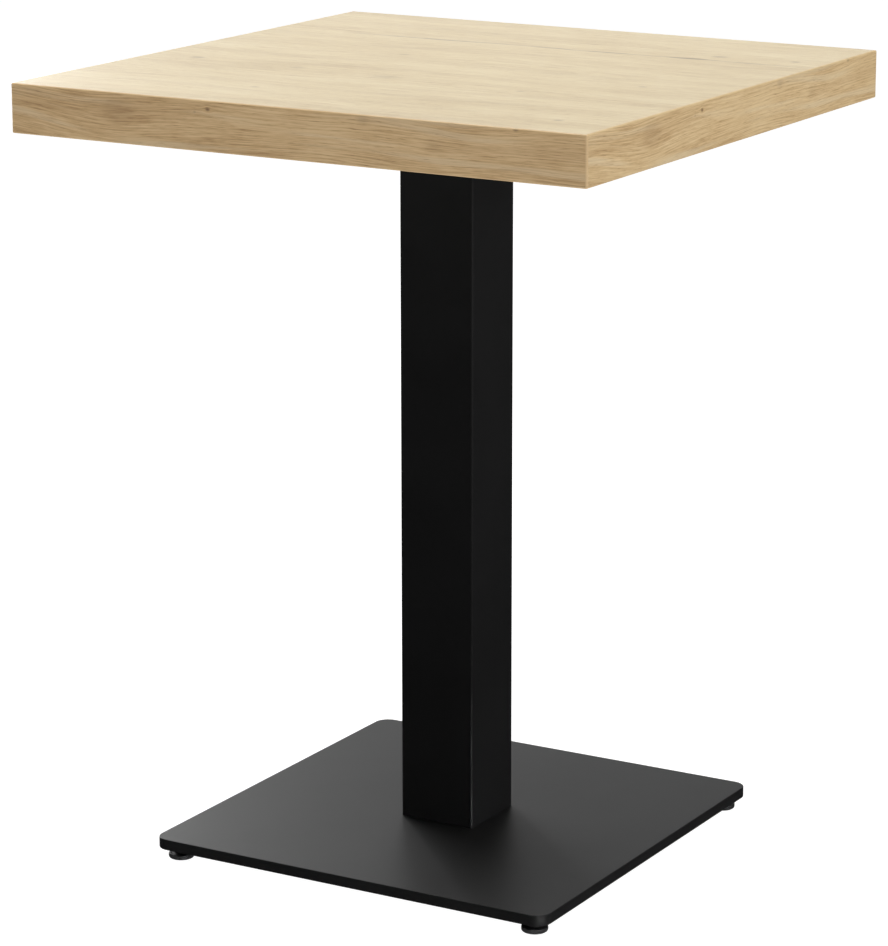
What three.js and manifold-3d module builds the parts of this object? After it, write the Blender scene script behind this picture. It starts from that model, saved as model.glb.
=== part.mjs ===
// Square bistro table: a thick oak-faced top on a square steel column and a flat steel base.
// Millimetres, +Z up. The origin is on the floor, under the middle of the table.
// The long faces of the top that look along -Y and +Y are its front and back.

import * as THREE from 'three';
import { mergeVertices } from 'three/addons/utils/BufferGeometryUtils.js';
import Module from 'manifold-3d';

const wasm = await Module();
wasm.setup();

// ---- Driving dimensions -------------------------------------------------------------------

const TABLE_HEIGHT = 765;        // floor to the face of the top
const CLEARANCE = 0.3;           // left round every screw and between parts that nest
const GLUE = 0.05;               // glue line or weld gap between pieces that touch
const OVERRUN = 1;               // how far a cutter runs past the face it cuts

const TOP_SIDE = 600;
const TOP_THICKNESS = 46.5;
const TOP_CORNER_RADIUS = 2;     // upright corners of the edge bands
const TOP_EDGE_ROUND = 1.5;      // upper and lower edges of the edge bands
const BAND_THICKNESS = 2;
const FACE_SHEET = 0.8;          // oak decor laminate
const BACK_SHEET = 0.7;          // balancing sheet underneath

const TOP_PLATE_SIDE = 240;
const TOP_PLATE_THICKNESS = 4;
const TOP_PLATE_RADIUS = 12;
const TOP_SCREW_SPAN = 200;      // corner screw to corner screw
const WOOD_SCREW_RADIUS = 2.5;
const WOOD_SCREW_LENGTH = 30;
const WOOD_SCREW_HEAD = 5;       // head radius
const WOOD_SCREW_HEAD_HEIGHT = 3.2;
const WOOD_SCREW_HEAD_ROUND = 1.1;
const WOOD_SCREW_POINT = 5;      // length of the tapered point

const TUBE_SIDE = 80;
const TUBE_WALL = 2;
const TUBE_RADIUS = 2;           // outer corner
const FOOT_PLATE_THICKNESS = 10; // block inside the tube's lower end

const BASE_SIDE = 432;
const BASE_THICKNESS = 10.7;
const BASE_RADIUS = 15;          // vertical corners
const BASE_BEVEL = 0.6;

const BASE_SCREW_SPAN = 44;      // square pattern under the column
const BASE_SCREW_RADIUS = 4;
const BASE_SCREW_LENGTH = 18;
const BASE_SCREW_HEAD = 8;       // countersunk head radius
const BASE_SCREW_CONE = 4;       // height of the head's cone
const BASE_SCREW_LAND = 0.5;     // height of the head's straight rim
const SOCKET_FLATS = 5;          // hexagon socket across flats
const SOCKET_DEPTH = 2.6;

const FOOT_INSET = 19.6;         // centre of a foot to the base's sides
const FOOT_GAP = 11.8;           // floor to the underside of the base
const PAD_RADIUS = 12.6;
const PAD_HEIGHT = 5;
const PAD_ROUND = 1.6;           // rounding of the pad's rim
const STUD_RADIUS = 4;
const STUD_TOP = 17.9;           // top of the stud above the floor, 6.1 into the base
const STUD_CHAMFER = 1;
const STUD_HOLE_DEPTH = 9.3;     // blind tapped hole in the base
const COLLAR_FLATS = 13;         // hexagon that a spanner turns
const COLLAR_BOTTOM = 5.3;
const COLLAR_TOP = 8.5;
const NECK_RADIUS = 3;
const FLANGE_RADIUS = 5.5;       // disc that the pad is snapped over
const FLANGE_BOTTOM = 1.6;
const FLANGE_TOP = 3.2;

// ---- Heights worked out from them ---------------------------------------------------------

const BASE_BOTTOM = FOOT_GAP;
const BASE_TOP = BASE_BOTTOM + BASE_THICKNESS;
const TOP_BOTTOM = TABLE_HEIGHT - TOP_THICKNESS;
const TOP_PLATE_BOTTOM = TOP_BOTTOM - TOP_PLATE_THICKNESS;
const BASE_SCREW_FACE = BASE_BOTTOM + CLEARANCE;
const BASE_SCREW_SEAT = BASE_SCREW_FACE + BASE_SCREW_LAND;

const ROUND_SEGMENTS = 24;
const SMALL_SEGMENTS = 16;
const CORNER_SEGMENTS = 6;

// ---- Materials ----------------------------------------------------------------------------

const finish = (color, roughness, metalness) =>
  new THREE.MeshStandardMaterial({ color, roughness, metalness });

const OAK_DECOR = finish(0xdccaa6, 0.5, 0);
const CHIPBOARD = finish(0xb79a6b, 0.9, 0);
const BACKING = finish(0xe6e2da, 0.7, 0);
const POWDER_COAT = finish(0x17181a, 0.45, 0.2);
const ZINC_STEEL = finish(0xb4b6b8, 0.35, 1);
const BLACKENED_STEEL = finish(0x1e1e20, 0.45, 1);
const BLACK_NYLON = finish(0x1c1c1e, 0.6, 0);

// ---- Solids -------------------------------------------------------------------------------

function toSolid(geometry) {
  const bare = geometry.clone();
  bare.deleteAttribute('normal');
  bare.deleteAttribute('uv');
  const welded = mergeVertices(bare, 1e-4);
  return new wasm.Manifold(new wasm.Mesh({
    numProp: 3,
    vertProperties: new Float32Array(welded.attributes.position.array),
    triVerts: new Uint32Array(welded.index.array),
  }));
}

function toGeometry(solid) {
  const mesh = solid.getMesh();
  const geometry = new THREE.BufferGeometry();
  geometry.setAttribute('position', new THREE.BufferAttribute(mesh.vertProperties, 3));
  geometry.setIndex(new THREE.BufferAttribute(mesh.triVerts, 1));
  geometry.computeVertexNormals();
  return geometry;
}

// A box given by its lowest and highest corners.
function block(low, high) {
  const size = high.map((value, axis) => value - low[axis]);
  const middle = high.map((value, axis) => (value + low[axis]) / 2);
  return new THREE.BoxGeometry(...size).translate(...middle);
}

// A square outline with round corners, centred on the origin.
function roundedSquare(side, radius) {
  const half = side / 2;
  const inner = half - radius;
  const outline = new THREE.Shape();
  outline.moveTo(-inner, -half);
  outline.lineTo(inner, -half);
  outline.absarc(inner, -inner, radius, -Math.PI / 2, 0);
  outline.lineTo(half, inner);
  outline.absarc(inner, inner, radius, 0, Math.PI / 2);
  outline.lineTo(-inner, half);
  outline.absarc(-inner, inner, radius, Math.PI / 2, Math.PI);
  outline.lineTo(-half, -inner);
  outline.absarc(-inner, -inner, radius, Math.PI, Math.PI * 1.5);
  return outline;
}

// A flat plate with round corners, its upper and lower edges rounded by bevel.
function plate(side, radius, bottom, thickness, bevel, steps = 1) {
  const geometry = new THREE.ExtrudeGeometry(roundedSquare(side - 2 * bevel, radius - bevel), {
    depth: thickness - 2 * bevel,
    bevelEnabled: bevel > 0,
    bevelThickness: bevel,
    bevelSize: bevel,
    bevelSegments: steps,
    curveSegments: CORNER_SEGMENTS,
  });
  return geometry.translate(0, 0, bottom + bevel);
}

// A turned piece about Z from [radius, height] points that start and end on the axis, bottom first.
function turned(profile, segments) {
  const points = profile.map(([radius, height]) => new THREE.Vector2(radius, height));
  return new THREE.LatheGeometry(points, segments).rotateX(Math.PI / 2);
}

// A straight pin about Z between two heights.
const pin = (radius, bottom, top, segments = SMALL_SEGMENTS) =>
  turned([[0, bottom], [radius, bottom], [radius, top], [0, top]], segments);

// A hexagonal prism about Z.
const hexagon = (flats, bottom, top) => pin(flats / Math.sqrt(3), bottom, top, 6);

function cutAll(geometry, cutters) {
  const solid = toSolid(geometry);
  return toGeometry(cutters.reduce((rest, cutter) => rest.subtract(toSolid(cutter)), solid));
}

// ---- Patterns of holes --------------------------------------------------------------------

function squareCorners(half) {
  return [[-half, -half], [half, -half], [half, half], [-half, half]];
}

// Four screws at the corners of the top plate and four half way between them.
function topScrewPlaces() {
  const half = TOP_SCREW_SPAN / 2;
  const middles = [[0, -half], [half, 0], [0, half], [-half, 0]];
  return [...squareCorners(half), ...middles];
}

const baseScrewPlaces = () => squareCorners(BASE_SCREW_SPAN / 2);

const FOOT_PLACES = squareCorners(BASE_SIDE / 2 - FOOT_INSET);
const FOOT_NAMES = ['front_left', 'front_right', 'back_right', 'back_left'];

// ---- The top ------------------------------------------------------------------------------

// The whole top as one rounded slab, from which its layers and bands are cut.
const topSlab = () =>
  plate(TOP_SIDE, TOP_CORNER_RADIUS, TOP_BOTTOM, TOP_THICKNESS, TOP_EDGE_ROUND, 3);

const pilotHoles = () => topScrewPlaces().map(([x, y]) => {
  const depth = WOOD_SCREW_LENGTH - TOP_PLATE_THICKNESS + OVERRUN;
  const hole = pin(WOOD_SCREW_RADIUS + CLEARANCE, TOP_BOTTOM - OVERRUN, TOP_BOTTOM + depth);
  return hole.translate(x, y, 0);
});

function topLayer(bottom, top) {
  const half = TOP_SIDE / 2 - BAND_THICKNESS - GLUE;
  return block([-half, -half, bottom], [half, half, top]);
}

function topCore() {
  const bottom = TOP_BOTTOM + BACK_SHEET + GLUE;
  const top = TABLE_HEIGHT - FACE_SHEET - GLUE;
  return cutAll(topLayer(bottom, top), pilotHoles());
}

const faceSheet = () => topLayer(TABLE_HEIGHT - FACE_SHEET, TABLE_HEIGHT);

const backSheet = () => cutAll(topLayer(TOP_BOTTOM, TOP_BOTTOM + BACK_SHEET), pilotHoles());

// An edge band on the side that faces turn quarter turns from the front. The front and back
// bands run the full side of the top, and the other two stand between them.
function edgeBand(turn) {
  const outer = TOP_SIDE / 2 + OVERRUN;
  const inner = TOP_SIDE / 2 - BAND_THICKNESS;
  const reach = turn % 2 === 0 ? outer : inner - GLUE;
  const side = block(
    [-reach, -outer, TOP_BOTTOM - OVERRUN],
    [reach, -inner, TABLE_HEIGHT + OVERRUN],
  );
  side.rotateZ(turn * Math.PI / 2);
  return toGeometry(toSolid(topSlab()).intersect(toSolid(side)));
}

// ---- The fixing under the top -------------------------------------------------------------

function topPlate() {
  const radius = WOOD_SCREW_RADIUS + 2 * CLEARANCE;
  const holes = topScrewPlaces().map(([x, y]) =>
    pin(radius, TOP_PLATE_BOTTOM - OVERRUN, TOP_BOTTOM + OVERRUN).translate(x, y, 0));
  const sheet = plate(TOP_PLATE_SIDE, TOP_PLATE_RADIUS, TOP_PLATE_BOTTOM,
    TOP_PLATE_THICKNESS - GLUE, 0);
  return cutAll(sheet, holes);
}

// A pan-head wood screw, driven up through the top plate.
function woodScrew() {
  const seat = TOP_PLATE_BOTTOM - GLUE;
  const crown = seat - WOOD_SCREW_HEAD_HEIGHT;
  const tip = seat + WOOD_SCREW_LENGTH;
  const flat = WOOD_SCREW_HEAD - 2 * WOOD_SCREW_HEAD_ROUND;
  return turned([
    [0, crown],
    [flat, crown],
    [WOOD_SCREW_HEAD - WOOD_SCREW_HEAD_ROUND / 2, crown + WOOD_SCREW_HEAD_ROUND],
    [WOOD_SCREW_HEAD, crown + 2 * WOOD_SCREW_HEAD_ROUND],
    [WOOD_SCREW_HEAD, seat],
    [WOOD_SCREW_RADIUS, seat],
    [WOOD_SCREW_RADIUS, tip - WOOD_SCREW_POINT],
    [0, tip],
  ], SMALL_SEGMENTS);
}

// ---- The column ---------------------------------------------------------------------------

function columnTube() {
  const outline = roundedSquare(TUBE_SIDE, TUBE_RADIUS);
  const bore = TUBE_SIDE - 2 * TUBE_WALL;
  outline.holes.push(roundedSquare(bore, TUBE_RADIUS / 2));
  const bottom = BASE_TOP + GLUE;
  const geometry = new THREE.ExtrudeGeometry(outline, {
    depth: TOP_PLATE_BOTTOM - GLUE - bottom,
    bevelEnabled: false,
    curveSegments: 3,
  });
  return geometry.translate(0, 0, bottom);
}

// The block welded into the tube's lower end, tapped for the screws from below.
function footPlate() {
  const bottom = BASE_TOP + GLUE;
  const top = bottom + FOOT_PLATE_THICKNESS;
  const side = TUBE_SIDE - 2 * TUBE_WALL - 2 * CLEARANCE;
  const holes = baseScrewPlaces().map(([x, y]) =>
    pin(BASE_SCREW_RADIUS + CLEARANCE, bottom - OVERRUN, top + OVERRUN).translate(x, y, 0));
  return cutAll(plate(side, TUBE_RADIUS, bottom, FOOT_PLATE_THICKNESS, 0), holes);
}

// ---- The base -----------------------------------------------------------------------------

// A countersunk screw from bottom to top, grown sideways by gap: gap 0 is the screw itself.
function countersunk(gap, bottom, top) {
  return turned([
    [0, bottom],
    [BASE_SCREW_HEAD + gap, bottom],
    [BASE_SCREW_HEAD + gap, BASE_SCREW_SEAT],
    [BASE_SCREW_RADIUS + gap, BASE_SCREW_SEAT + BASE_SCREW_CONE],
    [BASE_SCREW_RADIUS + gap, top],
    [0, top],
  ], ROUND_SEGMENTS);
}

function basePlate() {
  const slab = plate(BASE_SIDE, BASE_RADIUS, BASE_BOTTOM, BASE_THICKNESS, BASE_BEVEL, 2);
  const below = BASE_BOTTOM - OVERRUN;
  const screwHoles = baseScrewPlaces().map(([x, y]) =>
    countersunk(CLEARANCE, below, BASE_TOP + OVERRUN).translate(x, y, 0));
  const studHoles = FOOT_PLACES.map(([x, y]) =>
    pin(STUD_RADIUS + CLEARANCE, below, BASE_BOTTOM + STUD_HOLE_DEPTH).translate(x, y, 0));
  return cutAll(slab, [...screwHoles, ...studHoles]);
}

function baseScrew() {
  const socket = hexagon(SOCKET_FLATS, BASE_SCREW_FACE - OVERRUN, BASE_SCREW_FACE + SOCKET_DEPTH);
  return cutAll(countersunk(0, BASE_SCREW_FACE, BASE_SCREW_FACE + BASE_SCREW_LENGTH), [socket]);
}

// ---- The levelling feet -------------------------------------------------------------------

// The stud: a flange held in the pad, a neck, a hexagon collar and the threaded shank.
function footStud() {
  const neckTop = (COLLAR_BOTTOM + COLLAR_TOP) / 2;
  const shank = turned([
    [0, FLANGE_BOTTOM],
    [FLANGE_RADIUS, FLANGE_BOTTOM],
    [FLANGE_RADIUS, FLANGE_TOP],
    [NECK_RADIUS, FLANGE_TOP],
    [NECK_RADIUS, neckTop],
    [STUD_RADIUS, neckTop],
    [STUD_RADIUS, STUD_TOP - STUD_CHAMFER],
    [STUD_RADIUS - STUD_CHAMFER, STUD_TOP],
    [0, STUD_TOP],
  ], SMALL_SEGMENTS);
  const collar = hexagon(COLLAR_FLATS, COLLAR_BOTTOM, COLLAR_TOP);
  return toGeometry(toSolid(shank).add(toSolid(collar)));
}

// The pad: a moulded disc with a round rim, hollowed for the stud's flange and neck.
function footPad() {
  const disc = turned([
    [0, 0],
    [PAD_RADIUS - PAD_ROUND, 0],
    [PAD_RADIUS - PAD_ROUND * 0.3, PAD_ROUND * 0.3],
    [PAD_RADIUS, PAD_ROUND],
    [PAD_RADIUS, PAD_HEIGHT - PAD_ROUND / 2],
    [PAD_RADIUS - PAD_ROUND / 2, PAD_HEIGHT],
    [0, PAD_HEIGHT],
  ], ROUND_SEGMENTS);
  const seat = pin(FLANGE_RADIUS + CLEARANCE, FLANGE_BOTTOM - CLEARANCE, FLANGE_TOP + CLEARANCE);
  const throat = pin(NECK_RADIUS + CLEARANCE, FLANGE_TOP, PAD_HEIGHT + OVERRUN);
  return cutAll(disc, [seat, throat]);
}

// ---- Assembly -----------------------------------------------------------------------------

const group = new THREE.Group();

function addPiece(name, geometry, material, x = 0, y = 0) {
  const mesh = new THREE.Mesh(geometry, material);
  mesh.name = name;
  mesh.position.set(x, y, 0);
  group.add(mesh);
}

addPiece('top_core', topCore(), CHIPBOARD);
addPiece('top_face_sheet', faceSheet(), OAK_DECOR);
addPiece('top_backing_sheet', backSheet(), BACKING);
['front', 'right', 'back', 'left'].forEach((side, turn) => {
  addPiece(`edge_band_${side}`, edgeBand(turn), OAK_DECOR);
});

addPiece('top_plate', topPlate(), POWDER_COAT);
topScrewPlaces().forEach(([x, y], index) => {
  addPiece(`wood_screw_${index + 1}`, woodScrew(), ZINC_STEEL, x, y);
});

addPiece('column_tube', columnTube(), POWDER_COAT);
addPiece('column_foot_plate', footPlate(), POWDER_COAT);

addPiece('base_plate', basePlate(), POWDER_COAT);
baseScrewPlaces().forEach(([x, y], index) => {
  addPiece(`base_screw_${index + 1}`, baseScrew(), ZINC_STEEL, x, y);
});

FOOT_PLACES.forEach(([x, y], index) => {
  addPiece(`foot_stud_${FOOT_NAMES[index]}`, footStud(), BLACKENED_STEEL, x, y);
  addPiece(`foot_pad_${FOOT_NAMES[index]}`, footPad(), BLACK_NYLON, x, y);
});

export default group;
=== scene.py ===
# %% [markdown]
# # A square bistro table
#
# This lesson dresses a finished CAD table: a thick board with an oak decor, a square steel
# column and a flat steel base under a black powder coat. The CAD parts come in as a fixed frame.
# Nothing is moved or resized here. Each step either gives a CAD part a better finish, or builds
# a finer piece in the space that the CAD part holds and lets it stand for that part.
#
# All lengths are metres, +Z is up, and the origin is on the floor under the middle of the table.

import math

import bmesh
import bpy
from mathutils import Matrix, Vector


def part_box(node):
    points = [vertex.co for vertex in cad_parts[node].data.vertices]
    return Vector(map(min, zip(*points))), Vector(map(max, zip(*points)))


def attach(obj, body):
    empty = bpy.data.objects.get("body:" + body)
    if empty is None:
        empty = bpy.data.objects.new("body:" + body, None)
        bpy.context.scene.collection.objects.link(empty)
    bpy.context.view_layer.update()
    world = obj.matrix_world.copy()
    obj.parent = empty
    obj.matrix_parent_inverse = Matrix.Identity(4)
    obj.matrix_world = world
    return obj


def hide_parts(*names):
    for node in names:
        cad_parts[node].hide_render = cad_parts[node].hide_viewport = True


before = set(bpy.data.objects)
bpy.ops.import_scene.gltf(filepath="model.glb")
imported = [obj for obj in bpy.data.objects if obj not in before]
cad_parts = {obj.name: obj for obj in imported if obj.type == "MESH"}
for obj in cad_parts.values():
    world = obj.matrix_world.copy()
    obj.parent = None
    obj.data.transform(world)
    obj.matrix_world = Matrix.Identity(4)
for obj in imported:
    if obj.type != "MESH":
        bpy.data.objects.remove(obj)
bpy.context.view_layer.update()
print("nodes:", len(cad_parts))

# %% [markdown]
# The frame says where every part is, so the driving sizes of this file are read from it: the
# board, the column, the base and the fixing plate are measured once, and every later cell works
# from these few names.

# %% Measure the frame
MM = 0.001
ROOT = "table"
CORNERS = ["front_left", "front_right", "back_right", "back_left"]

board_low, board_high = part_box("edge_band_front")
tube_low, tube_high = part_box("column_tube")
base_low, base_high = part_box("base_plate")
plate_low, plate_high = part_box("top_plate")

TOP_SIDE = board_high.x - board_low.x
BAND = board_high.y - board_low.y
TUBE_SIDE = tube_high.x - tube_low.x
BASE_SIDE = base_high.x - base_low.x
PLATE_SIDE = plate_high.x - plate_low.x
print(f"top {TOP_SIDE:.3f}, tube {TUBE_SIDE:.3f}, base {BASE_SIDE:.3f}, plate {PLATE_SIDE:.3f}")

# %% [markdown]
# ## Camera
#
# The view looks down a little on the front corner of the board, from far away, through a long
# lens, so that the upright edges stay almost parallel. A small sideways and downward shift frames
# the table without turning the camera, which would make the column lean.
# Place, angles, lens and shift come from a least-squares fit of the table's straight edges.

# %% Set the camera
CAMERA_PLACE = (1.7602, -3.0440, 1.2644)
CAMERA_TURN = 30.0        # degrees to the left of +Y
CAMERA_DIP = 13.24        # degrees below the horizon
LENS = 142.2
SHIFT = (-0.0163, -0.0738)


def make_camera():
    data = bpy.data.cameras.new("view")
    data.lens = LENS
    data.sensor_width = 36.0
    data.shift_x, data.shift_y = SHIFT
    data.clip_end = 100.0
    camera = bpy.data.objects.new("view", data)
    camera.location = CAMERA_PLACE
    camera.rotation_euler = (math.radians(90 - CAMERA_DIP), 0, math.radians(CAMERA_TURN))
    bpy.context.scene.collection.objects.link(camera)
    bpy.context.scene.camera = camera
    return camera


print("camera:", make_camera().name)

# %% [markdown]
# ## Node helpers
#
# Every finish below is a small node tree. Writing one by hand means the same three lines again
# and again: make a node, set its options, join its inputs. `add` does that in one call, and a
# value that is itself a socket is joined instead of set. The other helpers wrap the nodes that
# wood and paint need most.

# %% Write nodes like a recipe
def add(tree, kind, inputs=None, **options):
    node = tree.nodes.new(kind)
    for option, value in options.items():
        setattr(node, option, value)
    for key, value in (inputs or {}).items():
        if isinstance(value, bpy.types.NodeSocket):
            tree.links.new(value, node.inputs[key])
        else:
            node.inputs[key].default_value = value
    return node


def calc(tree, operation, *values):
    return add(tree, "ShaderNodeMath", dict(enumerate(values)), operation=operation).outputs[0]


def join(tree, x, y, z=0.0):
    return add(tree, "ShaderNodeCombineXYZ", {0: x, 1: y, 2: z}).outputs[0]


def noise(tree, vector, scale=1.0, detail=2.0, roughness=0.5):
    inputs = {"Vector": vector, "Scale": scale, "Detail": detail, "Roughness": roughness}
    return add(tree, "ShaderNodeTexNoise", inputs).outputs[0]


def fade(tree, value, low, high, to_low=0.0, to_high=1.0):
    inputs = {0: value, 1: low, 2: high, 3: to_low, 4: to_high}
    return add(tree, "ShaderNodeMapRange", inputs, interpolation_type="SMOOTHSTEP").outputs[0]


def mix(tree, amount, first, second, blend="MIX"):
    inputs = {0: amount, 6: first, 7: second}
    node = add(tree, "ShaderNodeMix", inputs, data_type="RGBA", blend_type=blend)
    return node.outputs[2]


def ramp(tree, value, stops):
    node = add(tree, "ShaderNodeValToRGB", {0: value})
    band = node.color_ramp
    while len(band.elements) < len(stops):
        band.elements.new(0.5)
    for element, (place, color) in zip(band.elements, stops):
        element.position = place
        element.color = (*color, 1)
    return node.outputs[0]


def new_finish(name, **fixed):
    material = bpy.data.materials.new(name)
    material.use_nodes = True
    tree = material.node_tree
    shader = tree.nodes["Principled BSDF"]
    for socket, value in fixed.items():
        shader.inputs[socket.replace("_", " ")].default_value = value
    place = add(tree, "ShaderNodeTexCoord").outputs["Object"]
    return material, tree, shader, place


def set_bump(tree, shader, height, strength, distance):
    inputs = {"Height": height, "Strength": strength, "Distance": distance}
    tree.links.new(add(tree, "ShaderNodeBump", inputs).outputs[0], shader.inputs["Normal"])


print("node helpers are ready")

# %% [markdown]
# ## The oak decor
#
# The board is not solid oak. It is chipboard under a printed and embossed decor sheet, and the
# narrow sides are bands with the same print. So one recipe serves all of them, and only the two
# directions change: `along` runs with the grain and `across` runs over it.
#
# Plain-sawn oak is read at several sizes. Broad, slow clouds of tone come first. Warm lenses of
# darker wood lie where a ring has been cut almost flat, and pale flames where the print shows
# the wood cut at a slant, mostly on the bands. Growth rings are fine lines that wander a
# little. Between them lie pale flecks, and fibres finer than a millimetre. Pores are dark
# dashes, many times as long as they are wide, in the early wood of each ring.
# All of them are the same noise, stretched along the grain by different amounts, and all of
# them follow one slow sideways drift.

# %% Choose the tones and place the knots
OAK_PALE = (0.75, 0.61, 0.39)
OAK_LIGHT = (0.765, 0.575, 0.32)
OAK_MIDDLE = (0.66, 0.465, 0.23)
OAK_DARK = (0.47, 0.295, 0.125)
OAK_KNOT = (0.14, 0.06, 0.025)
# paler colour of the rounded band edges: partly the band's plain plastic, partly a painted
# highlight
BAND_CORE_AND_HIGHLIGHT = (0.68, 0.50, 0.27)
FACE_TINT = (1.01, 1.15, 1.34)      # the face sheet is a shade cooler than the bands
LONG_TINT = (0.975, 0.92, 0.86)     # the front and back bands are a shade warmer
FACE_CHECK = 0.154                  # place of the drying check, across the face

# Knots of the board's face: along, across, radius, depth of colour.
FACE_KNOTS = [
    (-0.246, -0.073, 0.0050, 0.45), (0.188, 0.180, 0.0055, 0.40), (0.131, -0.112, 0.0030, 0.35),
    (-0.084, 0.043, 0.0040, 0.25), (0.241, -0.243, 0.0035, 0.45), (-0.125, -0.084, 0.0060, 0.20),
    (-0.021, -0.095, 0.0090, 0.20), (0.214, -0.032, 0.0030, 0.40), (-0.092, -0.209, 0.0030, 0.35),
    (0.266, 0.184, 0.0035, 0.50),
]
# Knots of an edge band: along, height from the board's face, radius, depth of colour.
BAND_KNOTS = [
    (-0.083, -0.008, 0.0015, 0.75), (-0.097, -0.011, 0.0010, 0.25), (0.231, -0.001, 0.0018, 0.50),
    (-0.180, -0.015, 0.0110, 0.14), (0.078, -0.004, 0.0040, 0.20), (0.150, -0.022, 0.0060, 0.12),
]
print("knots:", len(FACE_KNOTS), "on the face,", len(BAND_KNOTS), "on a band")

# %% [markdown]
# A knot is the root of a branch. It has a dark heart, and the rings flow round it like water
# round a post. The heart is a soft spot, and the flow is a push: near the knot, the place from
# which the rings are read is pulled back to the knot's own line. A drying check is a hairline
# that runs with the grain. It wanders by a few millimetres, thins out and opens again.

# %% Write the knots and the check
def knot_field(tree, along, across, knots):
    """The push on the rings and the depth of colour of a list of knots."""
    push, heart = 0.0, 0.0
    for place, height, radius, depth in knots:
        away = calc(tree, "SUBTRACT", across, height)
        run = calc(tree, "MULTIPLY", calc(tree, "SUBTRACT", along, place), 0.7)
        square = calc(tree, "ADD", calc(tree, "MULTIPLY", away, away),
                      calc(tree, "MULTIPLY", run, run))
        distance = calc(tree, "SQRT", square)
        near = fade(tree, distance, radius * 4.0, 0.0, 0.0, depth)
        push = calc(tree, "ADD", push, calc(tree, "MULTIPLY", away, near))
        spot = fade(tree, distance, radius * 1.6, radius * 0.2, 0.0, depth)
        heart = calc(tree, "MAXIMUM", heart, spot)
    return push, heart


def check_line(tree, along, across, line):
    """A long drying check near the place line across the grain, as a depth of colour."""
    wander = calc(tree, "MULTIPLY", noise(tree, join(tree, along, 3.7), 9.0, 3.0), 0.012)
    middle_line = calc(tree, "ADD", wander, line - 0.006)
    offset = calc(tree, "ABSOLUTE", calc(tree, "SUBTRACT", across, middle_line))
    opening = fade(tree, noise(tree, join(tree, along, 9.1), 21.0, 2.0), 0.38, 0.66, 0.0013, 0.0036)
    burst = fade(tree, calc(tree, "ABSOLUTE", calc(tree, "SUBTRACT", along, 0.171)), 0.025, 0.0)
    opening = calc(tree, "ADD", opening, calc(tree, "MULTIPLY", burst, 0.0030))
    ends = fade(tree, calc(tree, "ABSOLUTE", calc(tree, "SUBTRACT", along, 0.04)), 0.27, 0.20)
    return calc(tree, "MULTIPLY", fade(tree, offset, opening, 0.0), ends)


print("knots and check are ready")

# %% [markdown]
# The last thing is the band itself. It is a strip of plain plastic with the print on its face
# only, so wherever the cutter has rounded it, the plain, slightly paler plastic comes through.
# The same paler colour is also a painted highlight: it stands in for the light that the
# rounding catches. `rounded` finds those places: they lie beyond the flat part of a band in
# two directions.
#
# Over the print lies a clear resin skin. The lower the view, the more of the studio it mirrors.

# %% Mix the oak
def rounded(tree, parts):
    """One on the rounded edges and corners of the board, zero on its flat sides."""
    edge = TOP_SIDE / 2
    reach_x = fade(tree, calc(tree, "ABSOLUTE", parts[0]), edge - 0.0019, edge - 0.0015)
    reach_y = fade(tree, calc(tree, "ABSOLUTE", parts[1]), edge - 0.0019, edge - 0.0015)
    center = (board_high.z + board_low.z) / 2
    half = (board_high.z - board_low.z) / 2
    height = calc(tree, "ABSOLUTE", calc(tree, "SUBTRACT", parts[2], center))
    reach_z = fade(tree, height, half - 0.0014, half - 0.0010)
    side = calc(tree, "MAXIMUM", reach_x, reach_y)
    return calc(tree, "MAXIMUM", calc(tree, "MULTIPLY", reach_x, reach_y),
                calc(tree, "MULTIPLY", side, reach_z))


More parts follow.
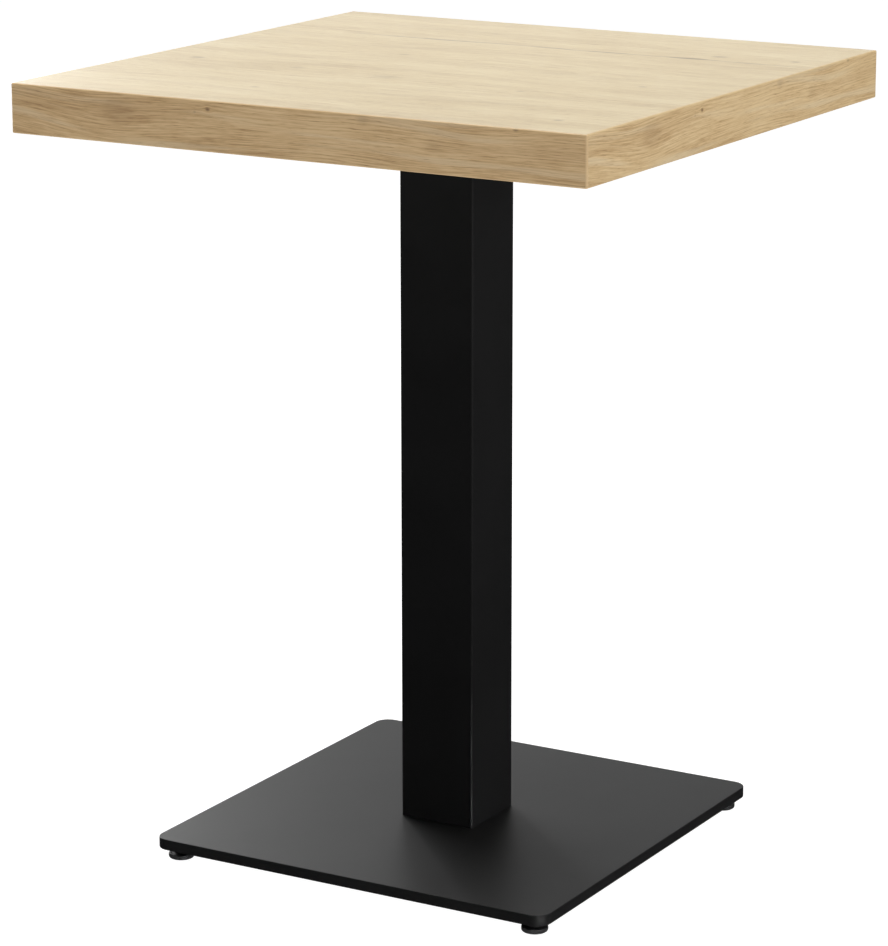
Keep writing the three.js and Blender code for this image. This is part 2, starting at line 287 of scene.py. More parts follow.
def oak(name, along_axis, across_axis, origin, knots, contrast, flames, line=None, tint=(1, 1, 1)):
    material, tree, shader, place = new_finish(
        name, IOR=1.5, Coat_Weight=1.0, Coat_IOR=1.5, Coat_Roughness=0.42)
    parts = add(tree, "ShaderNodeSeparateXYZ", {0: place}).outputs
    along = parts[along_axis]
    across = calc(tree, "SUBTRACT", parts[across_axis], origin)
    push, heart = knot_field(tree, along, across, knots)

    def stretched(sideways, along_scale, across_scale, depth, detail=2.0, roughness=0.5):
        vector = join(tree, calc(tree, "MULTIPLY", along, along_scale),
                      calc(tree, "MULTIPLY", sideways, across_scale), depth)
        return noise(tree, vector, 1.0, detail, roughness)

    slow = calc(tree, "SUBTRACT", stretched(across, 3.4, 9, 2.0, 1.0), 0.5)
    drift = calc(tree, "MULTIPLY", slow, 0.042)
    ring_place = calc(tree, "SUBTRACT", calc(tree, "ADD", across, drift), push)

    cloud = stretched(ring_place, 3.0, 26, 0.0, 3.0)
    lens = fade(tree, stretched(ring_place, 4.0, 34, 6.0), 0.56, 0.68)
    rings = stretched(ring_place, 16, 720, 4.0, 3.0, 0.7)
    fleck = fade(tree, stretched(ring_place, 26, 330, 14.0), 0.60, 0.74)
    fibres = stretched(ring_place, 55, 1500, 8.0)
    pores = fade(tree, stretched(ring_place, 80, 1900, 12.0, 1.0), 0.58, 0.70)
    early_wood = fade(tree, rings, 0.56, 0.42, 0.25, 1.0)
    pores = calc(tree, "MULTIPLY", pores, early_wood)

    tone = calc(tree, "ADD", calc(tree, "MULTIPLY", cloud, 0.26),
                calc(tree, "ADD", calc(tree, "MULTIPLY", rings, 0.52),
                     calc(tree, "MULTIPLY", fibres, 0.22)))
    reach = 0.10 / contrast
    color = ramp(tree, tone, [(0.5 - reach, OAK_DARK), (0.5, OAK_MIDDLE), (0.5 + reach, OAK_LIGHT)])
    pale = fade(tree, stretched(ring_place, 4.5, 75, 20.0), 0.52, 0.66)
    color = mix(tree, calc(tree, "MULTIPLY", pale, flames), color, (*OAK_PALE, 1))
    color = mix(tree, calc(tree, "MULTIPLY", lens, 0.30), color, (0.74, 0.66, 0.58, 1), "MULTIPLY")
    color = mix(tree, calc(tree, "MULTIPLY", fleck, 0.40), color, (*OAK_LIGHT, 1))
    color = mix(tree, calc(tree, "MULTIPLY", pores, 0.55), color, (*OAK_DARK, 1), "MULTIPLY")
    color = mix(tree, heart, color, (*OAK_KNOT, 1))
    if line is None:
        # the rounded band edges turn paler: partly the band's plain plastic, partly a painted
        # highlight
        core_and_highlight = calc(tree, "MULTIPLY", rounded(tree, parts), 0.7)
        color = mix(tree, core_and_highlight, color, (*BAND_CORE_AND_HIGHLIGHT, 1))
    else:
        check = calc(tree, "MULTIPLY", check_line(tree, along, across, line), 0.85)
        color = mix(tree, check, color, (*OAK_KNOT, 1))
    color = mix(tree, 1.0, color, (*tint, 1), "MULTIPLY")
    tree.links.new(color, shader.inputs["Base Color"])

    dullness = calc(tree, "ADD", calc(tree, "MULTIPLY", fibres, 0.10),
                    calc(tree, "MULTIPLY", pores, 0.18))
    tree.links.new(calc(tree, "ADD", dullness, 0.40), shader.inputs["Roughness"])
    relief = calc(tree, "SUBTRACT", calc(tree, "MULTIPLY", rings, 0.25), pores)
    set_bump(tree, shader, relief, 0.30, 0.00010)
    return material


FACE_OAK = oak("oak_decor_face", 0, 1, 0.0, FACE_KNOTS, 0.85, 0.08, FACE_CHECK, FACE_TINT)
BAND_OAK_X = oak("oak_decor_band_x", 0, 2, board_high.z, BAND_KNOTS, 1.15, 0.55, tint=LONG_TINT)
BAND_OAK_Y = oak("oak_decor_band_y", 1, 2, board_high.z, BAND_KNOTS, 1.0, 0.50)
print("oak:", FACE_OAK.name, BAND_OAK_X.name, BAND_OAK_Y.name)

# %% [markdown]
# ## The black powder coat
#
# Powder coat is a polyester skin, baked on. It is black, slightly satin, and it dries with a
# fine orange peel: bumps under a millimetre wide that are too small to see one by one, but that
# soften every reflection. A second, much slower noise moves the gloss a little from place to
# place, the way hands and cloths do.

# %% Mix the powder coat
def powder_coat(name, gloss_spread=0.06):
    material, tree, shader, place = new_finish(name, IOR=1.5)
    peel = noise(tree, place, 1400.0, 3.0, 0.55)
    hands = noise(tree, place, 9.0, 4.0, 0.6)
    dust = fade(tree, noise(tree, place, 2600.0, 1.0), 0.62, 0.80)
    color = ramp(tree, hands, [(0.35, (0.0038, 0.0038, 0.0040)), (0.65, (0.0050, 0.0050, 0.0053))])
    color = mix(tree, calc(tree, "MULTIPLY", dust, 0.03), color, (0.06, 0.06, 0.06, 1))
    tree.links.new(color, shader.inputs["Base Color"])
    spread = calc(tree, "MULTIPLY", calc(tree, "SUBTRACT", hands, 0.5), gloss_spread)
    tree.links.new(calc(tree, "ADD", spread, 0.48), shader.inputs["Roughness"])
    set_bump(tree, shader, peel, 0.12, 0.00004)
    return material


COAT = powder_coat("black_powder_coat")
print("coat:", COAT.name)

# %% [markdown]
# ## The small finishes
#
# Zinc plate is a thin bright skin on steel. Turning and rolling leave fine rings around the
# screw's own axis, and the plating dulls in patches. The studs of the feet are drawn near black
# and not metallic instead, with the same turned rings and lighter and darker patches. Nylon
# is moulded, so it is dull, a shade greyer than the steel, and has the faint texture of its
# tool. Chipboard is pressed from flakes of many tones, which a Voronoi pattern gives, and the
# balancing sheet is a pale paper with a soft fibre.

# %% Mix steel, nylon, chipboard and paper
def turned_steel(name, dull, bright, metallic, smooth, rough):
    material, tree, shader, place = new_finish(name, Metallic=metallic)
    patches = noise(tree, place, 420.0, 3.0)
    turning = noise(tree, add(tree, "ShaderNodeMapping", {"Vector": place, "Scale": (60, 60, 5200)})
                    .outputs[0], 1.0, 2.0)
    color = ramp(tree, patches, [(0.35, dull), (0.65, bright)])
    tree.links.new(color, shader.inputs["Base Color"])
    tree.links.new(fade(tree, turning, 0.3, 0.7, smooth, rough), shader.inputs["Roughness"])
    set_bump(tree, shader, turning, 0.15, 0.00003)
    return material


def nylon(name):
    material, tree, shader, place = new_finish(name, IOR=1.42)
    grain = noise(tree, place, 2200.0, 2.0)
    scuff = noise(tree, place, 160.0, 4.0, 0.65)
    color = ramp(tree, scuff, [(0.4, (0.018, 0.018, 0.019)), (0.75, (0.030, 0.030, 0.031))])
    tree.links.new(color, shader.inputs["Base Color"])
    tree.links.new(fade(tree, scuff, 0.3, 0.7, 0.50, 0.66), shader.inputs["Roughness"])
    set_bump(tree, shader, grain, 0.2, 0.00005)
    return material


def chipboard(name):
    material, tree, shader, place = new_finish(name, Roughness=0.9)
    flake = add(tree, "ShaderNodeTexVoronoi", {"Vector": place, "Scale": 380.0}).outputs["Color"]
    tone = add(tree, "ShaderNodeSeparateColor", {0: flake}).outputs[0]
    color = ramp(tree, tone, [(0.0, (0.24, 0.145, 0.065)), (1.0, (0.56, 0.41, 0.235))])
    tree.links.new(color, shader.inputs["Base Color"])
    set_bump(tree, shader, tone, 0.5, 0.0002)
    return material


def backing_paper(name):
    material, tree, shader, place = new_finish(name, IOR=1.45)
    fibre = noise(tree, place, 900.0, 4.0, 0.6)
    cloud = noise(tree, place, 14.0, 3.0)
    color = ramp(tree, calc(tree, "ADD", calc(tree, "MULTIPLY", fibre, 0.5),
                            calc(tree, "MULTIPLY", cloud, 0.5)),
                 [(0.35, (0.52, 0.49, 0.43)), (0.65, (0.66, 0.63, 0.57))])
    tree.links.new(color, shader.inputs["Base Color"])
    tree.links.new(fade(tree, fibre, 0.3, 0.7, 0.50, 0.66), shader.inputs["Roughness"])
    set_bump(tree, shader, fibre, 0.2, 0.00004)
    return material


ZINC = turned_steel("zinc_plate", (0.42, 0.42, 0.41), (0.60, 0.60, 0.60), 1.0, 0.26, 0.44)
# the foot studs: near black and not metallic, with lighter and darker patches
DARK_STUD_STEEL = turned_steel("blackened_steel", (0.007, 0.007, 0.008), (0.013, 0.013, 0.014), 0.0,
                         0.52, 0.66)
NYLON = nylon("black_nylon")
CHIPS, PAPER = chipboard("chipboard"), backing_paper("balancing_sheet")
print("small finishes:", ZINC.name, DARK_STUD_STEEL.name, NYLON.name, CHIPS.name, PAPER.name)

# %% [markdown]
# ## CAD parts that keep their shape
#
# Flat sheets and hidden parts are already right as CAD solids: the decor sheet is a thin flat
# plate in real life too. They only take a finish, in their own material slots.

# %% Dress the CAD parts
def dress(node, material):
    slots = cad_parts[node].data.materials
    slots.clear()
    slots.append(material)
    return node


KEPT = {
    "top_face_sheet": FACE_OAK,
    "top_core": CHIPS,
    "top_backing_sheet": PAPER,
    "column_foot_plate": COAT,
}
print("dressed:", [dress(node, material) for node, material in KEPT.items()])

# %% [markdown]
# ## Shape helpers
#
# Three ways of making a solid cover this table. A `loft` joins square rings with round corners,
# one above the other, and closes the ends: that gives the board, the plates and the tube. A
# `lathe` turns an outline about an upright axis: that gives screws, studs and pads. A `cut` is
# a boolean, run once and kept as plain mesh.
#
# Large flat faces next to small round edges shade badly with plain smooth shading, because the
# round edge bends the light on the whole face. `settle` marks every edge sharper than 40 degrees
# and lets the larger face decide each normal, which keeps the flats flat.

# %% Build lofts and lathes
def square_ring(side, radius, height, steps=10):
    """Points of a square with round corners at one height."""
    inner = side / 2 - radius
    ring = []
    for quarter in range(4):
        center = Matrix.Rotation(quarter * math.pi / 2, 2) @ Vector((inner, inner))
        for step in range(steps + 1):
            angle = (quarter + step / steps) * math.pi / 2
            ring.append((center.x + radius * math.cos(angle),
                         center.y + radius * math.sin(angle), height))
    return ring


def circle_ring(radius, height, steps=48):
    turn = 2 * math.pi / steps
    return [(radius * math.cos(k * turn), radius * math.sin(k * turn), height)
            for k in range(steps)]


def loft(rings, close=True):
    """A closed mesh through rings of equal length, lowest first on an outer wall."""
    shape = bmesh.new()
    loops = [[shape.verts.new(point) for point in ring] for ring in rings]
    count = len(loops[0])
    pairs = list(zip(loops, loops[1:]))
    if not close:
        pairs.append((loops[-1], loops[0]))
    for lower, upper in pairs:
        for k in range(count):
            nxt = (k + 1) % count
            shape.faces.new((lower[k], lower[nxt], upper[nxt], upper[k]))
    if close:
        shape.faces.new(loops[0][::-1])
        shape.faces.new(loops[-1])
    return shape


def lathe(profile, steps=48):
    """A turned solid from (radius, height) points off the axis, lowest first."""
    return loft([circle_ring(radius, height, steps) for radius, height in profile])


def arc(center, radius, start, end, steps):
    """(radius, height) points on an arc of a profile, angles in degrees."""
    points = []
    for step in range(steps + 1):
        angle = math.radians(start + (end - start) * step / steps)
        points.append((center[0] + radius * math.cos(angle), center[1] + radius * math.sin(angle)))
    return points


def as_object(name, shape):
    mesh = bpy.data.meshes.new(name)
    shape.to_mesh(mesh)
    shape.free()
    piece = bpy.data.objects.new(name, mesh)
    bpy.context.scene.collection.objects.link(piece)
    return piece


def plain(piece):
    """Applies the live modifiers of a piece, so that only its mesh is left."""
    view = bpy.context.evaluated_depsgraph_get()
    mesh = bpy.data.meshes.new_from_object(piece.evaluated_get(view))
    piece.modifiers.clear()
    piece.data = mesh
    return piece


def cut(piece, tool, operation="DIFFERENCE"):
    boolean = piece.modifiers.new("cut", "BOOLEAN")
    boolean.object = tool
    boolean.operation = operation
    boolean.solver = "EXACT"
    plain(piece)
    bpy.data.objects.remove(tool)
    return piece


def settle(piece, angle=40):
    piece.data.shade_smooth()
    piece.data.set_sharp_from_angle(angle=math.radians(angle))
    weighted = piece.modifiers.new("flat_faces", "WEIGHTED_NORMAL")
    weighted.keep_sharp = True
    weighted.weight = 100
    return plain(piece)


def hand_over(piece, material, slot, body, *nodes):
    """Finish, body and CAD parts of a new piece, in one place. The slot argument is not used."""
    piece.data.materials.clear()
    piece.data.materials.append(material)
    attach(piece, body)
    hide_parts(*nodes)
    print(f"{piece.name}: {len(piece.data.polygons)} faces on {body}")
    return piece


print("shape helpers are ready")

# %% [markdown]
# ## Edge bands
#
# Each narrow side of the board is closed with a 2 mm band. After gluing, a cutter rounds the
# band's long edges to a radius of about 1.5 mm and the board's upright corners to 2 mm. That
# rounding is what catches the light as a thin pale line, so it is built in full: the whole board
# is lofted as one rounded slab, and a plane slices each band off its side. The front and back
# bands run past the ends of the other two, so a seam runs down beside each upright corner.

# %% Slice the edge bands
EDGE_ROUND = 1.5 * MM
CORNER_ROUND = 2.0 * MM
GLUE = 0.05 * MM


def rounded_slab(side, radius, low, high, edge, steps=5):
    """Rings of a square slab whose long edges are rounded by edge."""
    rings = []
    for across, up in arc((-edge, low + edge), edge, -90, 0, steps):
        rings.append(square_ring(side + 2 * across, radius + across, up))
    for across, up in arc((-edge, high - edge), edge, 0, 90, steps):
        rings.append(square_ring(side + 2 * across, radius + across, up))
    return loft(rings)


def slice_off(shape, point, normal):
    """Keeps the part of shape behind a plane and closes the cut."""
    geometry = list(shape.verts) + list(shape.edges) + list(shape.faces)
    result = bmesh.ops.bisect_plane(shape, geom=geometry, plane_co=point, plane_no=normal,
                                    clear_outer=True)
    edges = [item for item in result["geom_cut"] if isinstance(item, bmesh.types.BMEdge)]
    bmesh.ops.contextual_create(shape, geom=edges)


def edge_band(side, quarter, material):
    shape = rounded_slab(TOP_SIDE, CORNER_ROUND, board_low.z, board_high.z, EDGE_ROUND)
    outward = Matrix.Rotation(quarter * math.pi / 2, 3, "Z") @ Vector((0, -1, 0))
    slice_off(shape, outward * (TOP_SIDE / 2 - BAND), -outward)
    if quarter % 2:
        reach = TOP_SIDE / 2 - BAND - GLUE
        slice_off(shape, (0, reach, 0), (0, 1, 0))
        slice_off(shape, (0, -reach, 0), (0, -1, 0))
    piece = settle(as_object(f"band_{side}", shape))
    return hand_over(piece, material, "oak_decor", ROOT, f"edge_band_{side}")


for quarter, side in enumerate(["front", "right", "back", "left"]):
    edge_band(side, quarter, BAND_OAK_Y if quarter % 2 else BAND_OAK_X)

# %% [markdown]
# ## Column
#
# The column is a welded square tube with a 2 mm wall. A tube is rolled, so its corners are round
# even where they look sharp. Outer and inner rings are joined into one closed loop: up the
# outside, over the rim, down the inside and back.

# %% Make the column
TUBE_ROUND = 2.0 * MM
TUBE_WALL = 2.0 * MM


def column():
    bore = TUBE_SIDE - 2 * TUBE_WALL
    inner_round = TUBE_ROUND / 2
    rings = [
        square_ring(TUBE_SIDE, TUBE_ROUND, tube_low.z),
        square_ring(TUBE_SIDE, TUBE_ROUND, tube_high.z),
        square_ring(bore, inner_round, tube_high.z),
        square_ring(bore, inner_round, tube_low.z),
    ]
    piece = settle(as_object("column", loft(rings, close=False)))
    return hand_over(piece, COAT, "black_powder_coat", ROOT, "column_tube")


column()

# %% [markdown]
# ## Base plate
#
# The base is one heavy steel plate. It is cut with round corners, its edges are broken by a
# fraction of a millimetre so that the powder holds on them, and it is drilled from below:
# four countersinks for the column's screws and a blind hole for each foot. The holes are
# cut as turned tools, placed where the CAD screws and studs are.

# %% Make the base plate
BASE_CORNER = 15 * MM
BASE_EDGE = 0.6 * MM
HOLE_GAP = 0.3 * MM
SINK_HEAD = 8.0 * MM         # radius of a base screw's countersunk head
SINK_SHANK = 4.0 * MM
SINK_LAND = 0.5 * MM         # straight rim of the head
SINK_CONE = 4.0 * MM
STUD_RADIUS = 4.0 * MM
STUD_HOLE = 9.3 * MM         # depth of the blind hole for a foot


def middle(node):
    low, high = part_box(node)
    return (low + high) / 2


def stand_on(shape, node):
    """Moves a shape onto the upright axis of a CAD part."""
    center = middle(node)
    bmesh.ops.translate(shape, vec=(center.x, center.y, 0), verts=shape.verts)
    return shape


def drill(node, profile):
    """A turned cutter from (radius, height) points, standing on the axis of a CAD part."""
    return as_object("tool", stand_on(lathe(profile, 32), node))


def base():
    shape = rounded_slab(BASE_SIDE, BASE_CORNER, base_low.z, base_high.z, BASE_EDGE, 3)
    piece = as_object("base", shape)
    for number in range(1, 5):
        node = f"base_screw_{number}"
        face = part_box(node)[0].z
        seat = face + SINK_LAND
        cut(piece, drill(node, [
            (SINK_HEAD + HOLE_GAP, face - 2 * MM), (SINK_HEAD + HOLE_GAP, seat),
            (SINK_SHANK + HOLE_GAP, seat + SINK_CONE),
            (SINK_SHANK + HOLE_GAP, base_high.z + MM)]))
    for corner in CORNERS:
        cut(piece, drill(f"foot_stud_{corner}", [
            (STUD_RADIUS + HOLE_GAP, base_low.z - MM),
            (STUD_RADIUS + HOLE_GAP, base_low.z + STUD_HOLE)]))
    return hand_over(settle(piece), COAT, "black_powder_coat", ROOT, "base_plate")


base()

# %% [markdown]
# ## Fixing plate
#
# A 4 mm steel plate is welded to the column's head and screwed under the board with eight
# screws. From the front the thick board hides it, but from a low seat it is the first thing
# that shows, so it gets its round corners, broken edges and drilled holes too.

# %% Make the fixing plate
PLATE_CORNER = 12 * MM
PLATE_EDGE = 0.5 * MM
SCREW_HOLE = 3.1 * MM


def fixing_plate():
    shape = rounded_slab(PLATE_SIDE, PLATE_CORNER, plate_low.z, plate_high.z, PLATE_EDGE, 3)
    piece = as_object("fixing_plate", shape)
    for number in range(1, 9):
        hole = [(SCREW_HOLE, plate_low.z - MM), (SCREW_HOLE, plate_high.z + MM)]
        cut(piece, drill(f"wood_screw_{number}", hole))
    return hand_over(settle(piece), COAT, "black_powder_coat", ROOT, "top_plate")


fixing_plate()

# %% [markdown]
# ## Weld bead
#
# Where the tube meets the fixing plate a welder has run one bead all the way round. A hand-made
# bead is a row of overlapping ripples, each one a small frozen puddle. That is a shape which
# repeats along a path, so Geometry Nodes make it: a square path with round corners is cut into
# even steps, and a ball of slightly random size stands on every step, turned to face along the
# path.

# %% Lay the weld bead
def tree_input(tree, name, kind, value):
    socket = tree.interface.new_socket(name, in_out="INPUT", socket_type=kind)
    socket.default_value = value
    return socket.identifier


def new_tree(name):
    tree = bpy.data.node_groups.new(name, "GeometryNodeTree")
    tree.interface.new_socket("Geometry", in_out="INPUT", socket_type="NodeSocketGeometry")
    tree.interface.new_socket("Geometry", in_out="OUTPUT", socket_type="NodeSocketGeometry")
    return tree


def close_tree(tree, instances, material):
    """Every tree ends the same way: real geometry, its material, and out."""
    real = add(tree, "GeometryNodeRealizeInstances", {"Geometry": instances}).outputs[0]
    done = add(tree, "GeometryNodeSetMaterial", {"Geometry": real, "Material": material})
    add(tree, "NodeGroupOutput", {0: done.outputs[0]})


def grow(name, tree, values):
    """Runs a tree on an empty mesh, with its inputs set by identifier, and keeps the result."""
    piece = bpy.data.objects.new(name, bpy.data.meshes.new(name))
    bpy.context.scene.collection.objects.link(piece)
    modifier = piece.modifiers.new("grow", "NODES")
    modifier.node_group = tree
    for identifier, value in values.items():
        modifier[identifier] = value
    return plain(piece)


def weld_tree():
    tree = new_tree("weld_bead")
    keys = {
        "side": tree_input(tree, "Side", "NodeSocketFloat", 0.08),
        "round": tree_input(tree, "Corner radius", "NodeSocketFloat", 0.003),
        "height": tree_input(tree, "Height", "NodeSocketFloat", 0.7),
        "pitch": tree_input(tree, "Ripple pitch", "NodeSocketFloat", 0.002),
        "size": tree_input(tree, "Bead radius", "NodeSocketFloat", 0.003),
    }
    given = add(tree, "NodeGroupInput").outputs
    square = add(tree, "GeometryNodeCurvePrimitiveQuadrilateral",
                 {"Width": given["Side"], "Height": given["Side"]}).outputs[0]
    path = add(tree, "GeometryNodeFilletCurve",
               {"Curve": square, "Radius": given["Corner radius"], "Count": 6}, mode="POLY")
    points = add(tree, "GeometryNodeCurveToPoints",
                 {"Curve": path.outputs[0], "Length": given["Ripple pitch"]}, mode="LENGTH")
    ball = add(tree, "GeometryNodeMeshUVSphere",
               {"Segments": 10, "Rings": 6, "Radius": given["Bead radius"]}).outputs["Mesh"]
    swell = add(tree, "FunctionNodeRandomValue",
                {2: 0.9, 3: 1.08, "Seed": 4}, data_type="FLOAT").outputs[1]
    beads = add(tree, "GeometryNodeInstanceOnPoints",
                {"Points": points.outputs[0], "Instance": ball,
                 "Rotation": points.outputs["Rotation"], "Scale": swell}).outputs[0]
    lifted = add(tree, "GeometryNodeTransform",
                 {"Geometry": beads, "Translation": join(tree, 0.0, 0.0, given["Height"])})
    close_tree(tree, lifted.outputs[0], COAT)
    return tree, keys


def weld_bead():
    tree, keys = weld_tree()
    piece = grow("weld_bead", tree, {
        keys["side"]: TUBE_SIDE + 1.0 * MM, keys["round"]: 3.0 * MM,
        keys["height"]: plate_low.z - 0.4 * MM, keys["pitch"]: 1.9 * MM, keys["size"]: 2.6 * MM})
    piece.data.shade_smooth()
    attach(piece, ROOT)
    print(f"weld bead: {len(piece.data.polygons)} faces")
    return piece


weld_bead()

# %% [markdown]
# ## Screws
#
# A screw is a turned head and a thread. The thread is a rule rather than a drawing: at every
# angle the groove stands one pitch higher after one turn, so the radius of each point follows
# from how far it is up the shank and around it. One function gives every thread of the table.
#
# The wood screws have a rounded head with a cross recess, the base screws a countersunk head
# with a hexagon socket. Each is modelled once, and Geometry Nodes stand a copy on every point
# of a square grid: a three by three grid without its middle for the board, and a two by two
# grid for the base.

# %% Turn the screws
def thread_rings(radius, depth, pitch, low, high, steps=24, rows=7):
    """Rings of a helical thread from low to high, its crest at radius."""
    rings = []
    count = max(2, round((high - low) / pitch * rows))
    for row in range(count + 1):
        height = low + (high - low) * row / count
        ring = []
        for step in range(steps):
            turn = step / steps
            phase = ((height - low) / pitch - turn) % 1.0
            groove = depth * abs(2 * phase - 1)
            fade_in = min(1.0, row / rows, (count - row) / rows)
            reach = radius - depth + (depth - groove) * fade_in
            ring.append((reach * math.cos(2 * math.pi * turn),
                         reach * math.sin(2 * math.pi * turn), height))
        rings.append(ring)
    return rings


def rings_of(profile, steps=24):
    return [circle_ring(radius, height, steps) for radius, height in profile]


def prism(flats, low, high, sides=6):
    return lathe([(flats / 2 / math.cos(math.pi / sides), low),
                  (flats / 2 / math.cos(math.pi / sides), high)], sides)


def box_tool(size_x, size_y, low, high):
    shape = bmesh.new()
    bmesh.ops.create_cube(shape, size=1.0)
    bmesh.ops.scale(shape, vec=(size_x, size_y, high - low), verts=shape.verts)
    bmesh.ops.translate(shape, vec=(0, 0, (low + high) / 2), verts=shape.verts)
    return as_object("tool", shape)


def wood_screw():
    """A pan-head wood screw on the origin, its head's underside at height 0, point up."""
    head = arc((2.6 * MM, 0), 2.4 * MM, -78, 0, 6)
    head = [(radius, height * 1.3) for radius, height in head]
    shank = thread_rings(2.5 * MM, 0.7 * MM, 2.2 * MM, 3 * MM, 26 * MM)
    tip = [(1.2 * MM, 28 * MM), (0.15 * MM, 30 * MM)]
    rings = rings_of(head) + rings_of([(1.8 * MM, 0)]) + shank + rings_of(tip)
    piece = as_object("wood_screw_pattern", loft(rings))
    bottom = min(height for radius, height in head)
    for size in ((4.6 * MM, 1.0 * MM), (1.0 * MM, 4.6 * MM)):
        cut(piece, box_tool(*size, bottom - MM, bottom + 1.5 * MM))
    return settle(piece)


def base_screw():
    """A countersunk M8 screw on the origin, its face at height 0, thread up."""
    head = [(7.7 * MM, 0), (8.0 * MM, 0.2 * MM), (8.0 * MM, 0.5 * MM), (4.0 * MM, 4.5 * MM)]
    shank = thread_rings(4.0 * MM, 0.7 * MM, 1.25 * MM, 5 * MM, 17.2 * MM, 32)
    rings = rings_of(head, 32) + shank + rings_of([(3.0 * MM, 18 * MM)], 32)
    piece = as_object("base_screw_pattern", loft(rings))
    cut(piece, as_object("tool", prism(5 * MM, -MM, 2.6 * MM)))
    return settle(piece)


def screw_tree(name, material):
    """Stands a pattern on the points of a square grid and leaves the middle point out."""
    tree = new_tree(name)
    keys = {
        "pattern": tree_input(tree, "Pattern", "NodeSocketObject", None),
        "span": tree_input(tree, "Span", "NodeSocketFloat", 0.2),
        "count": tree_input(tree, "Count", "NodeSocketInt", 3),
        "height": tree_input(tree, "Height", "NodeSocketFloat", 0.7),
    }
    given = add(tree, "NodeGroupInput").outputs
    grid = add(tree, "GeometryNodeMeshGrid",
               {"Size X": given["Span"], "Size Y": given["Span"],
                "Vertices X": given["Count"], "Vertices Y": given["Count"]}).outputs["Mesh"]
    place = add(tree, "GeometryNodeInputPosition").outputs[0]
    reach = add(tree, "ShaderNodeVectorMath", {0: place}, operation="LENGTH").outputs["Value"]
    central = add(tree, "FunctionNodeCompare", {0: reach, 1: 0.001}, operation="LESS_THAN")
    points = add(tree, "GeometryNodeDeleteGeometry",
                 {"Geometry": grid, "Selection": central.outputs[0]}).outputs[0]
    shape = add(tree, "GeometryNodeObjectInfo", {"Object": given["Pattern"]}).outputs["Geometry"]
    copies = add(tree, "GeometryNodeInstanceOnPoints", {"Points": points, "Instance": shape})
    lifted = add(tree, "GeometryNodeTransform",
                 {"Geometry": copies.outputs[0],
                  "Translation": join(tree, 0.0, 0.0, given["Height"])})
    close_tree(tree, lifted.outputs[0], material)
    return tree, keys


def screw_set(name, pattern, count, height, nodes):
    tree, keys = screw_tree(name, ZINC)
    places = [middle(node) for node in nodes]
    span = max(place.x for place in places) - min(place.x for place in places)
    piece = grow(name, tree, {keys["pattern"]: pattern, keys["span"]: span,
                              keys["count"]: count, keys["height"]: height})
    bpy.data.objects.remove(pattern)
    return hand_over(piece, ZINC, "zinc_steel", ROOT, *nodes)


WOOD_NODES = [f"wood_screw_{number}" for number in range(1, 9)]
BASE_NODES = [f"base_screw_{number}" for number in range(1, 5)]
screw_set("wood_screws", wood_screw(), 3, plate_low.z - GLUE, WOOD_NODES)
screw_set("base_screws", base_screw(), 2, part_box("base_screw_1")[0].z, BASE_NODES)

# %% [markdown]
# ## Levelling feet
#
# Each foot is a stud that turns in a pad. The stud has a flange inside the pad, a thin neck, a
# hexagon that takes a 13 mm spanner, and an M8 thread that runs up into the base. The hexagon
# is a prism whose corners are turned off above and below, so it is the common part of a prism
# and a turned blank. The pad is a moulded disc with a soft rim and a shallow dish on top.
#
# Stud and pad move apart from each other: the pad only goes up and down, and the stud also
# turns. So they ride on different bodies, and each is its own piece.

# %% Make the feet
STUD_PITCH = 1.25 * MM
COLLAR_FLATS = 13 * MM
PAD_FOOT_ROUND = 2.4 * MM    # rounding of the pad's lower rim
PAD_LIP_ROUND = 0.8 * MM     # rounding of its upper rim


def stud(corner):
    node = f"foot_stud_{corner}"
    low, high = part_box(node)
    collar_low, collar_high = low.z + 3.7 * MM, low.z + 6.9 * MM
    rings = rings_of([(5.2 * MM, low.z), (5.5 * MM, low.z + 0.3 * MM),
                      (5.5 * MM, low.z + 1.6 * MM), (3.0 * MM, low.z + 1.6 * MM),
                      (3.0 * MM, collar_high - MM)], 36)
    rings += thread_rings(STUD_RADIUS, 0.65 * MM, STUD_PITCH, collar_high - 0.9 * MM,
                          high.z - 0.8 * MM, 36)
    rings += rings_of([(STUD_RADIUS - 1.1 * MM, high.z)], 36)
    blank = lathe([(6.5 * MM, collar_low), (7.5 * MM, collar_low + 0.5 * MM),
                   (7.5 * MM, collar_high - 0.5 * MM), (6.5 * MM, collar_high)], 48)
    collar = cut(as_object("collar", prism(COLLAR_FLATS, collar_low, collar_high)),
                 as_object("tool", blank), "INTERSECT")
    piece = cut(as_object(f"stud_{corner}", loft(rings)), collar, "UNION")
    center = middle(node)
    piece.data.transform(Matrix.Translation((center.x, center.y, 0)))
    return hand_over(settle(piece), DARK_STUD_STEEL, "blackened_steel", f"{corner}_stud", node)


def pad(corner):
    node = f"foot_pad_{corner}"
    low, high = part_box(node)
    rim, top = (high.x - low.x) / 2, high.z
    outline = [(rim - 5.0 * MM, low.z + 0.3 * MM), (rim - 4.6 * MM, low.z)]
    outline += arc((rim - PAD_FOOT_ROUND, low.z + PAD_FOOT_ROUND), PAD_FOOT_ROUND, -90, 0, 8)
    outline += arc((rim - PAD_LIP_ROUND, top - PAD_LIP_ROUND), PAD_LIP_ROUND, 0, 90, 5)
    outline += [(rim - 2.2 * MM, top), (rim - 2.9 * MM, top - 0.5 * MM),
                (4.6 * MM, top - 0.5 * MM), (4.1 * MM, top), (3.3 * MM, top),
                (3.3 * MM, low.z + 3.5 * MM), (5.8 * MM, low.z + 3.5 * MM),
                (5.8 * MM, low.z + 1.3 * MM)]
    piece = as_object(f"pad_{corner}", stand_on(lathe(outline, 64), node))
    return hand_over(settle(piece, 30), NYLON, "black_nylon", f"{corner}_pad", node)


for corner in CORNERS:
    stud(corner)
    pad(corner)

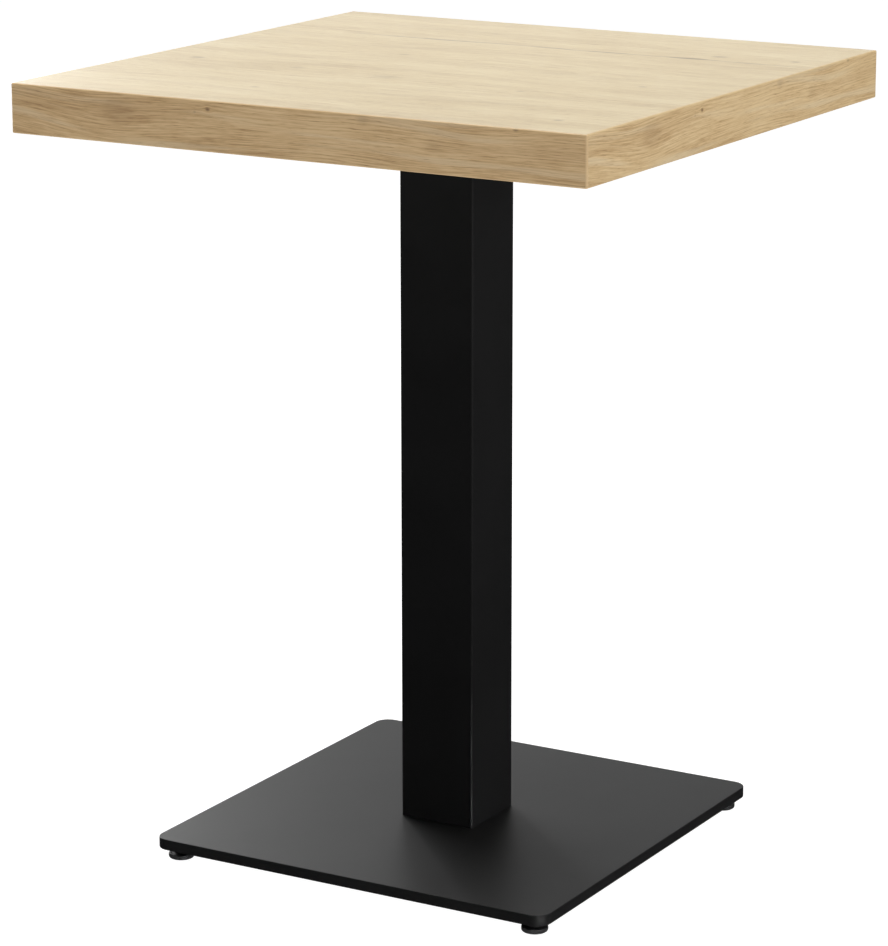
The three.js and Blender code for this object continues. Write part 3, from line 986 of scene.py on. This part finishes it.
# %% [markdown]
# ## Floor and light
#
# The table stands on a plain pale floor in a dark studio, and every lamp is a soft panel. The
# panels are named by where they stand: an azimuth to the left of +Y, a distance and a height.
#
# Two panels at the back on the left, one low and one high, do most of the work on the black
# steel, with two weaker ones beside them. The flat base mirrors them toward the viewer, which
# draws a slow gradient from its left corner to its right one, and the column stands in their
# way, which leaves a dark fan in front of it. A wide panel overhead lights the face of the
# board, and two on the right light the right-hand band more than the front one. A small low
# panel with a narrow beam faces the front corner of the base and puts a soft glint on its
# rounded edge. It hardly reaches the column.
#
# The floor glows like a lit table, so it stays an even white even under the base. It is kept
# out of mirror reflections, which lets the black column stay black. Beyond it the studio looks
# as white as the floor does, but gives almost no light.

# %% Light the studio
FLOOR_SIDE = 60.0
FLOOR_GLOW = 1.0
DOME = 0.02
WIDE = 180                # degrees that a bare panel spreads over
NARROW = 14               # a panel behind a honeycomb grid

# Panels: azimuth, distance, height, width, tallness, height of the aim, watts, beam.
# The watts come from lighting one panel at a time and solving for a balance, and were then
# rounded and adjusted.
PANELS = {
    "back_left_low": (60, 3.0, 0.7, 1.6, 1.0, 0.4, 53.0, WIDE),
    "back_left_high": (60, 3.0, 2.1, 1.6, 1.2, 0.4, 11.5, WIDE),
    "left": (80, 3.0, 1.3, 1.6, 1.6, 0.4, 8.8, WIDE),
    "back": (30, 3.6, 1.1, 2.4, 0.6, 0.4, 8.6, WIDE),
    "above": (30, 0.12, 3.5, 3.0, 3.0, 0.0, 120.0, WIDE),
    "right": (-80, 4.0, 1.8, 2.0, 2.0, 0.4, 53.0, WIDE),
    "front_right": (-135, 4.0, 2.0, 1.6, 2.0, 0.4, 15.4, WIDE),
    "corner": (-125, 1.6, 0.05, 1.0, 0.08, 0.02, 0.24, NARROW),
}


def floor():
    material, tree, shader, place = new_finish("pale_floor", Roughness=0.9)
    tone = ramp(tree, noise(tree, place, 1.5, 2.0), [(0.3, (0.19, 0.19, 0.19)),
                                                     (0.7, (0.21, 0.21, 0.21))])
    tree.links.new(tone, shader.inputs["Base Color"])
    shader.inputs["Emission Color"].default_value = (1, 1, 1, 1)
    shader.inputs["Emission Strength"].default_value = FLOOR_GLOW
    mesh = bpy.data.meshes.new("floor")
    half = FLOOR_SIDE / 2
    mesh.from_pydata([(-half, -half, 0), (half, -half, 0), (half, half, 0), (-half, half, 0)],
                     [], [(0, 1, 2, 3)])
    mesh.materials.append(material)
    piece = bpy.data.objects.new("floor", mesh)
    bpy.context.scene.collection.objects.link(piece)
    piece.visible_glossy = False
    return piece


def panel(name, azimuth, distance, height, width, tallness, aim_height, watts, beam):
    data = bpy.data.lights.new(name, "AREA")
    data.shape = "RECTANGLE"
    data.size, data.size_y = width, tallness
    data.energy = watts
    data.spread = math.radians(beam)
    light = bpy.data.objects.new(name, data)
    turn = math.radians(azimuth)
    light.location = (-math.sin(turn) * distance, math.cos(turn) * distance, height)
    aim = Vector((0, 0, aim_height)) - light.location
    light.rotation_euler = aim.to_track_quat("-Z", "Y").to_euler()
    light.visible_camera = False
    bpy.context.scene.collection.objects.link(light)
    return light


def dome():
    world = bpy.data.worlds.new("dome")
    world.use_nodes = True
    tree = world.node_tree
    shader = tree.nodes["Background"]
    shader.inputs["Color"].default_value = (1, 1, 1, 1)
    seen = add(tree, "ShaderNodeLightPath").outputs["Is Camera Ray"]
    tree.links.new(fade(tree, seen, 0.0, 1.0, DOME, 1.0), shader.inputs["Strength"])
    bpy.context.scene.world = world


floor()
dome()
print("panels:", [panel(name, *sizes).name for name, sizes in PANELS.items()])
bpy.context.scene.view_settings.view_transform = "Standard"
